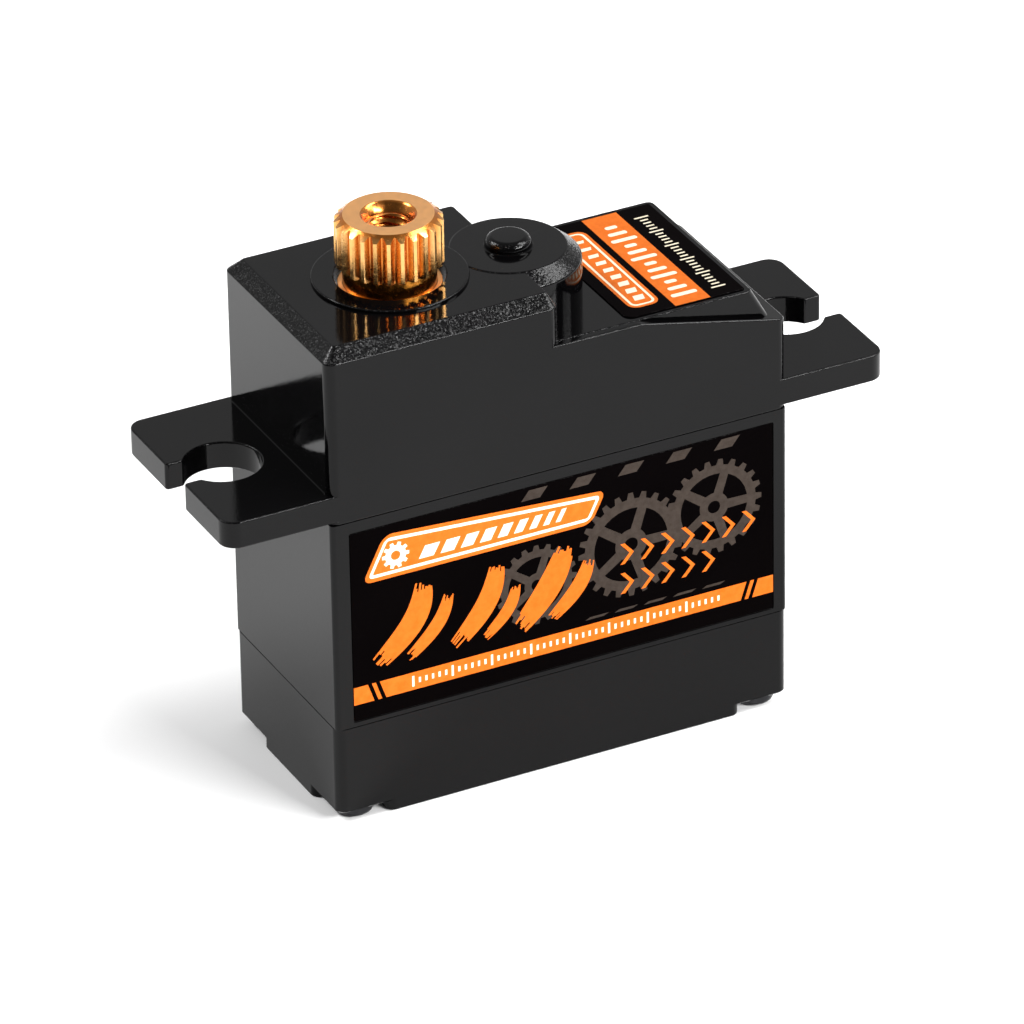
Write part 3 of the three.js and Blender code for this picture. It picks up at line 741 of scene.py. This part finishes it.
def make_case_screw(index, material):
    x, y = SCREW_PLACES[index]
    low, head_top, radius = screw_low.z, FOOT, 1.2
    crown = 0.28
    profile = [(0, low), (radius - crown - 0.25, low)]
    profile += arc(radius - crown, low + crown, crown, -78, 0, 7)
    profile += [(radius, head_top), (0.68, head_top), (0.68, head_top + 1), (0, head_top + 1)]
    screw = turned("screw", x, profile, 48, y)
    shank = lathe("shank", x, y, thread_rows(0.52, 0.68, 0.45, head_top + 0.5, SCREW_TOP), 20)
    combine(screw, "UNION", shank)
    half_slot, half_bar = 0.72, 0.15
    outline = rounded_rectangle(-half_slot, half_slot, -half_bar, half_bar, 0.05, 2)
    as_driven = 20 + 37 * index
    for turn in (0, 90):
        angle = math.radians(turn + as_driven)
        bar = [
            (x + u * math.cos(angle) - v * math.sin(angle), y + u * math.sin(angle) + v * math.cos(angle))
            for u, v in outline
        ]
        combine(screw, "DIFFERENCE", prism("bar", bar, -1, 0.4))
    name = f"case_screw_{index + 1}"
    place(smooth(clean(screw)), name + "_detailed", "housing", "black_steel", material, name)


# ------------------------------------------------------------------ output shaft
def gear_outline(teeth, module, phase, pressure=25.0, backlash=0.07):
    pitch = teeth * module / 2
    base = pitch * math.cos(math.radians(pressure))
    tip, root = pitch + 0.9 * module, pitch - 1.2 * module
    half_tooth = 90 / teeth - math.degrees(backlash / (2 * pitch))

    def involute(radius):
        angle = math.acos(min(1.0, base / radius))
        return math.degrees(math.tan(angle) - angle)

    at_pitch = involute(pitch)
    radii = [max(root, base) + (tip - 0.04 - max(root, base)) * i / 4 for i in range(5)]
    flank = [(radius, half_tooth + at_pitch - involute(radius)) for radius in radii]
    if root < base:
        flank.insert(0, (root, flank[0][1] + 0.5))
    flank.append((tip, flank[-1][1] - 0.6))
    points = []
    for tooth in range(teeth):
        centre = phase + 360 * tooth / teeth
        points += [polar(radius, centre - offset) for radius, offset in flank]
        points += [polar(radius, centre + offset) for radius, offset in reversed(flank)]
    return points


def shifted(outline, x):
    return [(x + px, py) for px, py in outline]


def spline_outline():
    teeth, tip, root = 25, 3.12, 2.76
    step = 360 / teeth
    first = 13.4
    # (radius, share of a tooth's pitch) up one flank, over the crest and down the other
    shape = [(root, -0.5), (root + 0.03, -0.4), (tip - 0.04, -0.17), (tip, -0.13)]
    shape += [(tip, 0.13), (tip - 0.04, 0.17), (root + 0.03, 0.4)]
    return [
        polar(radius, first + (tooth + share) * step) for tooth in range(teeth) for radius, share in shape
    ]


def make_output_shaft(material):
    spline_foot, journal_top = 31.75, 30.5
    journal, neck, stub, shoulder = 3.0, 2.7, 1.5, 3.5
    gear_low, gear_high = 25.0, 27.5
    edge = 0.025
    shaft = turned(
        "shaft",
        OUTPUT_X,
        [(0, STUB_BOTTOM), (stub - edge, STUB_BOTTOM), (stub, STUB_BOTTOM + edge), (stub, gear_low + 0.1)]
        + [(shoulder, gear_low + 0.1), (shoulder, BEARING_LOW), (journal, BEARING_LOW)]
        + [(journal, journal_top - edge), (journal - edge, journal_top), (neck + 0.02, journal_top)]
        + [(neck, journal_top + 0.02), (neck, spline_foot + 0.3), (0, spline_foot + 0.3)],
        128,
    )
    ridges = prism("ridges", shifted(spline_outline(), OUTPUT_X), spline_foot, SPLINE_TOP)
    envelope = turned(
        "envelope",
        OUTPUT_X,
        [(0, spline_foot - 0.05), (2.97, spline_foot - 0.05), (3.2, spline_foot + 0.15)]
        + [(3.2, SPLINE_TOP - 0.43), (2.61, SPLINE_TOP - 0.005), (2.6, SPLINE_TOP), (0, SPLINE_TOP)],
        128,
    )
    combine(ridges, "INTERSECT", envelope)
    outline = shifted(gear_outline(27, 0.375, 180 / 27), OUTPUT_X)
    teeth = bevelled(prism("teeth", outline, gear_low, gear_high), FINE_EDGE, 1, SHARP_CORNERS)
    combine(shaft, "UNION", ridges, teeth)
    mouth = 1.68
    hole = lathe("hole", OUTPUT_X, 0, thread_rows(1.04, 1.26, 0.45, 28.6, SPLINE_TOP - 0.2, 0.6), 48)
    sink = turned(
        "sink",
        OUTPUT_X,
        [(0, SPLINE_TOP - 0.62), (1.2, SPLINE_TOP - 0.62), (1.27, SPLINE_TOP - 0.42)]
        + [(1.5, SPLINE_TOP - 0.12), (1.6, SPLINE_TOP - 0.03), (mouth, SPLINE_TOP)]
        + [(mouth, SPLINE_TOP + 1), (0, SPLINE_TOP + 1)],
        96,
    )
    socket = arc(OUTPUT_X, 0, 1.0, 143, 397, 28)
    combine(shaft, "DIFFERENCE", hole, sink, prism("socket", socket, STUB_BOTTOM - 1, 20.8))
    place(smooth(clean(shaft), 32), "output_shaft", "output_shaft", "spline_brass", material, "output_gear")


# ------------------------------------------------------------------ labels
FILM, DARK_INK, ORANGE_INK, CREAM_INK = range(4)
INK_NAMES = ("film", "dark", "orange", "cream")


class Print:
    """Ink on a label, drawn in the label's own plane. Later patches cover earlier ones."""

    def __init__(self):
        self.patches = []

    def add(self, colour, outline):
        """One patch; its outline may run either way round, and is kept anticlockwise."""
        following = outline[1:] + outline[:1]
        area = sum(x0 * y1 - x1 * y0 for (x0, y0), (x1, y1) in zip(outline, following))
        self.patches.append((colour, outline if area > 0 else outline[::-1]))

    def bar(self, colour, x0, x1, y0, y1, lean=0.0, radius=0.0):
        """An upright or leaning bar; lean is how far its top stands to the right."""
        if radius:
            points = rounded_rectangle(x0, x1, y0, y1, radius, 5)
        else:
            points = [(x0, y0), (x1, y0), (x1, y1), (x0, y1)]
        self.add(colour, [(x + lean * (y - y0) / (y1 - y0), y) for x, y in points])

    def stroke(self, colour, path, width, ragged, dice, bristles=9):
        """A dry-brush stroke: bristles side by side along a path, each starting and ending by chance."""
        for bristle in range(bristles):
            across = (bristle + 0.5) / bristles - 0.5
            start = ragged * dice.random()
            end = 1 - ragged * dice.random()
            self.ribbon(colour, path, across * width, width / bristles * 1.25, start, end)

    def ribbon(self, colour, path, offset, width, start, end, steps=14):
        left, right = [], []
        for step in range(steps + 1):
            share = start + (end - start) * step / steps
            x, y = path(share)
            ahead_x, ahead_y = path(share + 0.01)
            length = math.hypot(ahead_x - x, ahead_y - y)
            nx, ny = (y - ahead_y) / length, (ahead_x - x) / length
            swell = 1 - 0.35 * (2 * share - 1) ** 2
            for side, points in ((-0.5, left), (0.5, right)):
                reach = (offset + side * width) * swell
                points.append((x + nx * reach, y + ny * reach))
        self.add(colour, left + right[::-1])

    def ring(self, colour, x, y, outer, inner):
        self.add(colour, arc(x, y, outer, 0, 354, 59))
        self.add(FILM, arc(x, y, inner, 0, 350, 35))

    def cog(self, colour, x, y, radius, teeth):
        """A plain cogwheel: toothed rim, spokes and hub."""
        outline = []
        for tooth in range(teeth):
            for share, reach in ((-0.3, 0.88), (-0.17, 1), (0.17, 1), (0.3, 0.88)):
                outline.append(polar(radius * reach, 360 * (tooth + share) / teeth, (x, y)))
        self.add(colour, outline)
        self.add(FILM, arc(x, y, radius * 0.7, 0, 350, 35))
        for spoke in range(5):
            turn = 72 * spoke
            corners = ((0.2, -30), (0.72, -7), (0.72, 7), (0.2, 30))
            self.add(colour, [polar(radius * reach, turn + angle, (x, y)) for reach, angle in corners])
        self.ring(colour, x, y, radius * 0.3, radius * 0.13)

    def finish(self, name, face, materials, upright):
        """Sorts the overlapping patches into one thin flat piece for each ink."""
        sunk, proud = 0.004, 0.012
        points, loops = [], []
        for _, outline in self.patches:
            loops.append(list(range(len(points), len(points) + len(outline))))
            points += [Vector(point) for point in outline]
        spots, _, cells, _, _, owners = delaunay_2d_cdt(points, [], loops, 1, 1e-5)
        inks = {}
        for cell, owner in zip(cells, owners):
            if owner:
                inks.setdefault(self.patches[max(owner)][0], []).append(cell)
        for ink_colour in sorted(inks):
            if ink_colour != FILM:
                piece_name = f"{name}_{INK_NAMES[ink_colour]}"
                thing = slab(piece_name, spots, inks[ink_colour], face - sunk, face + proud)
                if upright:
                    stand(thing)
                place(thing, thing.name, "housing", "label_film", materials[ink_colour])


def slab(name, spots, cells, low, high):
    """Flat cells raised between two heights, with walls only round their joint outline."""
    work = bmesh.new()
    levels = []
    for z in (low, high):
        used = sorted({spot for cell in cells for spot in cell})
        levels.append({spot: work.verts.new((*spots[spot], z)) for spot in used})
    sides = set()
    for cell in cells:
        sides.update(zip(cell, cell[1:] + cell[:1]))
        work.faces.new([levels[1][spot] for spot in cell])
        work.faces.new([levels[0][spot] for spot in reversed(cell)])
    for near, far in sorted(sides):
        if (far, near) not in sides:
            work.faces.new((levels[0][near], levels[0][far], levels[1][far], levels[1][near]))
    mesh = bpy.data.meshes.new(name)
    bmesh.ops.dissolve_limit(work, angle_limit=0.001, verts=work.verts, edges=work.edges)
    work.to_mesh(mesh)
    work.free()
    return new_object(name, mesh)


def make_front_label(materials):
    low, high = box_mm("front_label")
    face = -low.y
    sheet = prism("sheet", rounded_rectangle(low.x, high.x, low.z, high.z, 0.1, 4), -high.y, face)
    sheet = stand(bevelled(sheet, FILM_EDGE, 1, SHARP_CORNERS))
    place(sheet, "front_label_film", "housing", "label_film", materials[FILM], "front_label")
    art = Print()
    draw_cogs(art, high.z)
    draw_badge(art, -12.75, 15.45, 14.6)
    draw_strokes(art, random.Random(11))
    draw_chevrons(art, 3.7)
    draw_band(art, low.x, high.x)
    art.finish("front_print", face, materials, True)


def draw_cogs(art, top):
    for x, y, radius, teeth in ((4.4, 13.4, 3.4, 24), (-1.7, 12.4, 2.6, 20), (9.8, 14.4, 3.1, 22)):
        art.cog(DARK_INK, x, y, radius, teeth)
    for i in range(5):
        art.bar(DARK_INK, -2.6 + 3.1 * i, -1.4 + 3.1 * i, 18.1, top - 0.2, 0.5)
        art.bar(DARK_INK, 1.4 + 1.9 * i, 2.6 + 1.9 * i, 9.15, 9.3, 0.3)


def draw_badge(art, x, y, length):
    """A leaning wedge with a cogwheel and a row of narrowing bars."""
    tall, short = 2.85, 2.0
    lean = 0.5

    def wedge(inset):
        corners = [(0, 0), (length, 0), (length, short), (0, tall)]
        signs = [(1, 1), (-1, 1), (-1, -1), (1, -1)]
        centres = [(px + sx * 0.55, py + sy * 0.55) for (px, py), (sx, sy) in zip(corners, signs)]
        points = []
        for (px, py), turn in zip(centres, (180, 270, 0, 90)):
            points += arc(px, py, 0.55 - inset, turn, turn + 90, 6)
        return [(x + px + lean * py, y + py) for px, py in points]

    art.add(ORANGE_INK, wedge(0))
    art.add(CREAM_INK, wedge(0.24))
    art.add(ORANGE_INK, wedge(0.44))
    hub_x, hub_y = x + 2.15, y + tall / 2 - 0.05
    teeth = 10
    outline = []
    for tooth in range(teeth):
        for share, reach in ((-0.32, 0.66), (-0.2, 0.86), (0.2, 0.86), (0.32, 0.66)):
            outline.append(polar(reach, 360 * (tooth + share) / teeth, (hub_x, hub_y)))
    art.add(CREAM_INK, outline)
    art.add(ORANGE_INK, arc(hub_x, hub_y, 0.3, 0, 345, 23))
    left = 3.6
    for i in range(9):
        wide = 0.95 - 0.08 * i
        art.bar(CREAM_INK, x + left, x + left + wide, y + 0.72, y + 1.5, 0.42)
        left += wide + 0.42


def draw_strokes(art, dice):
    """Broad brush slashes."""

    def slash(x0, y0, x1, y1, bow):
        def path(t):
            return x0 + (x1 - x0) * t + bow * math.sin(math.pi * t), y0 + (y1 - y0) * t

        return path

    for x0, y0, x1, y1, bow, width in (
        (-12.0, 9.9, -8.9, 14.6, 0.9, 1.5),
        (-10.0, 9.8, -7.3, 13.4, 0.6, 0.9),
        (-7.0, 9.8, -4.2, 14.5, 0.7, 1.35),
        (-5.1, 9.8, -3.0, 12.8, 0.5, 0.8),
        (-2.9, 9.8, 0.2, 14.5, 0.5, 1.6),
        (-0.8, 9.9, 1.7, 13.2, 0.5, 1.0),
    ):
        art.stroke(ORANGE_INK, slash(x0, y0, x1, y1, bow), width, 0.13, dice, 11)


def draw_chevrons(art, x):
    """Two rows of small chevrons."""
    half, tip, thick = 0.68, 0.6, 0.28
    for middle, count in ((12.9, 7), (10.95, 5)):
        for i in range(count):
            left = x + 1.32 * i
            for side in (half, -half):
                end = middle + side
                arm = [(left, end), (left + thick, end), (left + tip + thick, middle), (left + tip, middle)]
                art.add(ORANGE_INK, arm)


def draw_band(art, left, right):
    """The stripe along the label's foot, cut by leaning gaps near both ends, with a tick scale on it."""
    low, high = 7.68, 8.83
    art.bar(ORANGE_INK, left, right, low, high)
    for x, lean in ((-12.15, -0.42), (-11.65, -0.42), (11.5, 0.42), (12.0, 0.42)):
        art.bar(FILM, x, x + 0.26, low - 0.05, high + 0.05, lean)
    pitch = 0.42
    for i in range(48):
        x = -9.75 + pitch * i
        tall = 0.7 if i % 6 == 0 else 0.34
        art.bar(CREAM_INK, x, x + 0.14, 8.25 - tall / 2, 8.25 + tall / 2)


def make_top_label(materials):
    low, high = box_mm("top_label")
    face = high.z
    corner, small = 0.6, 0.12
    outline = (
        arc(high.x - small, high.y - small, small, 0, 90, 3)
        + arc(low.x + corner, high.y - corner, corner, 90, 180, 6)
        + arc(low.x + corner, low.y + corner, corner, 180, 270, 6)
        + arc(high.x - small, low.y + small, small, 270, 360, 3)
    )
    sheet = bevelled(prism("sheet", outline, low.z, face), FILM_EDGE, 1, SHARP_CORNERS)
    place(sheet, "top_label_film", "housing", "label_film", materials[FILM], "top_label")
    art = Print()
    band_left, band_right = 7.8, 10.05
    art.bar(ORANGE_INK, band_left, band_right, low.y + 0.02, high.y - 0.1)
    draw_top_bars(art, (band_left + band_right) / 2)
    draw_top_badge(art)
    for i in range(26):
        y = -5.05 + 0.38 * i
        wide = 0.9 if i % 5 == 0 else 0.5
        art.bar(CREAM_INK, 11.05 - wide / 2, 11.05 + wide / 2, y, y + 0.12)
    art.finish("top_print", face, materials, False)


def draw_top_bars(art, middle):
    """A row of rounded bars across the stripe, longer and shorter by turns."""
    for i in range(12):
        y = -5.0 + 0.82 * i
        half = (0.82, 0.6, 0.38)[i % 3]
        art.bar(CREAM_INK, middle - half, middle + half, y, y + 0.36, 0, 0.15)


def draw_top_badge(art):
    """A small badge of the same kind, running along Y."""
    art.bar(ORANGE_INK, 5.4, 7.35, -5.1, 4.7, 0, 0.6)
    art.bar(CREAM_INK, 5.6, 7.15, -4.9, 4.5, 0, 0.42)
    art.bar(ORANGE_INK, 5.75, 7.0, -4.75, 4.35, 0, 0.3)
    for i in range(9):
        y = -4.3 + 0.95 * i
        art.bar(CREAM_INK, 6.05, 6.7, y, y + 0.55 - 0.03 * i, 0.12)


# ------------------------------------------------------------------ floor, light and camera
def make_floor():
    """A plain, pale, matt floor that reaches well past the picture."""
    pale, paler = (0.93, 0.93, 0.93), (0.95, 0.95, 0.95)
    material, tree, shader = new_material("studio_floor")
    tone = spread(tree, noise(tree, 3, 1), 0.3, 0.7, 0, 1)
    tree.links.new(blend_colour(tree, tone, pale, paler), shader.inputs["Base Color"])
    shader.inputs["Roughness"].default_value = 0.9
    mesh = bpy.data.meshes.new("floor")
    half = 3.0
    corners = [(-half, -half, 0), (half, -half, 0), (half, half, 0), (-half, half, 0)]
    mesh.from_pydata(corners, [], [(0, 1, 2, 3)])
    floor = new_object("floor", mesh)
    floor.data.materials.append(material)


def softbox(name, azimuth, elevation, size_m, radiance):
    """A flat light that looks at the object from a direction in degrees; azimuth 0 is +X, 90 is +Y."""
    distance = 1.5
    level = distance * math.cos(math.radians(elevation))
    height = distance * math.sin(math.radians(elevation))
    data = bpy.data.lights.new(name, "AREA")
    data.shape = "RECTANGLE"
    data.size, data.size_y = size_m
    data.energy = radiance * math.pi * size_m[0] * size_m[1]
    lamp = new_object(name, data)
    lamp.location = (*polar(level, azimuth), height)
    object_middle = Vector((0, 0, 0.015))
    aim = object_middle - Vector((*polar(level, azimuth), height))
    lamp.rotation_euler = aim.to_track_quat("-Z", "Y").to_euler()


def make_studio():
    """Softboxes at both sides and in front, and walls that are pale behind the object and dark before it."""
    softbox("left_softbox", 140, 45, (0.36, 0.36), 36)
    softbox("right_softbox", -14, 46, (0.42, 0.9), 18)
    softbox("front_softbox", -58, 31, (0.9, 0.12), 85)
    world = bpy.data.worlds.new("studio")
    bpy.context.scene.world = world
    world.use_nodes = True
    tree = world.node_tree
    background = tree.nodes["Background"]
    background.inputs["Color"].default_value = (1, 1, 1, 1)
    direction = tree.nodes.new("ShaderNodeTexCoord")
    towards = tree.nodes.new("ShaderNodeVectorMath")
    towards.operation = "DOT_PRODUCT"
    behind, dark_wall, pale_wall = (0.45, 0.89, 0), 0.1, 0.62
    towards.inputs[1].default_value = behind
    tree.links.new(direction.outputs["Generated"], towards.inputs[0])
    wall = spread(tree, towards.outputs["Value"], -0.5, 0.6, dark_wall, pale_wall)
    tree.links.new(wall, background.inputs["Strength"])
    bpy.context.scene.view_settings.view_transform = "Standard"


def make_camera():
    """Looks along azimuth -26.4 degrees from 29.8 degrees above the horizon, with a long lens."""
    azimuth, elevation, roll = (math.radians(a) for a in (-26.41, 29.81, -1.02))
    forward = Vector(
        (
            -math.sin(azimuth) * math.cos(elevation),
            math.cos(azimuth) * math.cos(elevation),
            -math.sin(elevation),
        )
    )
    level = forward.cross(Vector((0, 0, 1))).normalized()
    rise = level.cross(forward)
    right = level * math.cos(roll) + rise * math.sin(roll)
    up = right.cross(forward)
    data = bpy.data.cameras.new("camera")
    data.sensor_width = 36
    data.lens = 322.7
    data.clip_start = 0.01
    camera = new_object("camera", data)
    standpoint = Vector((-0.20471, -0.41247, 0.27719))
    axes = Matrix((right, up, -forward)).transposed().to_4x4()
    camera.matrix_world = Matrix.Translation(standpoint) @ axes
    bpy.context.scene.camera = camera


black_plastic = plastic("black_plastic", (0.0008, 0.00075, 0.0009), (0.0015, 0.0014, 0.0016), 0.07)
spline_brass = shaft_brass()
gear_metal = metal("gear_metal", (0.6, 0.42, 0.18), (0.75, 0.55, 0.26), 0.3)
steel = metal("steel", (0.5, 0.51, 0.53), (0.66, 0.67, 0.68), 0.25)
black_metal = metal("black_metal", (0.02, 0.02, 0.022), (0.04, 0.04, 0.042), 0.35)
film = plastic("label_film", (0.0008, 0.0004, 0.0005), (0.0012, 0.0007, 0.0008), 0.4, 0.1, 1.25, 0.05)
orange = ink("orange_ink", (0.68, 0.13, 0.006), (0.78, 0.16, 0.012))
cream = ink("cream_ink", (0.95, 0.86, 0.62), (1.0, 0.93, 0.74))
PRINT_MATERIALS = {
    FILM: film,
    DARK_INK: ink("dark_ink", (0.03, 0.021, 0.016), (0.045, 0.033, 0.026)),
    ORANGE_INK: orange,
    CREAM_INK: cream,
}
# Painted shade: the top label's orange and cream inks are darker copies of the front label's inks.
SHADED_TOP_PRINT_MATERIALS = dict(PRINT_MATERIALS)
SHADED_TOP_PRINT_MATERIALS[ORANGE_INK] = ink("shaded_top_orange_ink", (0.44, 0.088, 0.004), (0.52, 0.11, 0.008))
SHADED_TOP_PRINT_MATERIALS[CREAM_INK] = ink("shaded_top_cream_ink", (0.6, 0.54, 0.4), (0.66, 0.6, 0.47))
BY_SLOT = {
    "case_plastic": black_plastic,
    "label_film": film,
    "spline_brass": spline_brass,
    "gear_brass": gear_metal,
    "bearing_steel": steel,
    "black_steel": black_metal,
    "magnet": metal("magnet", (0.12, 0.12, 0.13), (0.2, 0.2, 0.21), 0.6),
    "copper": metal("copper", (0.5, 0.2, 0.08), (0.75, 0.35, 0.16), 0.35),
    "sensor_plastic": plastic("sensor_plastic", (0.02, 0.06, 0.2), (0.03, 0.09, 0.28), 0.45),
    "cream_plastic": plastic("cream_plastic", (0.6, 0.54, 0.42), (0.72, 0.67, 0.55), 0.5),
    "board": plastic("board", (0.01, 0.08, 0.025), (0.02, 0.13, 0.045), 0.4),
    "chip": plastic("chip", (0.01, 0.01, 0.01), (0.02, 0.02, 0.02), 0.5),
    "capacitor": plastic("capacitor", (0.5, 0.28, 0.05), (0.65, 0.38, 0.1), 0.45),
}

make_camera()
paint_frame_nodes(BY_SLOT)
make_upper_case(black_plastic)
make_middle_case(black_plastic)
make_bottom_cover(black_plastic)
for screw in range(4):
    make_case_screw(screw, black_metal)
make_output_shaft(spline_brass)
make_front_label(PRINT_MATERIALS)
make_top_label(SHADED_TOP_PRINT_MATERIALS)
make_floor()
make_studio()
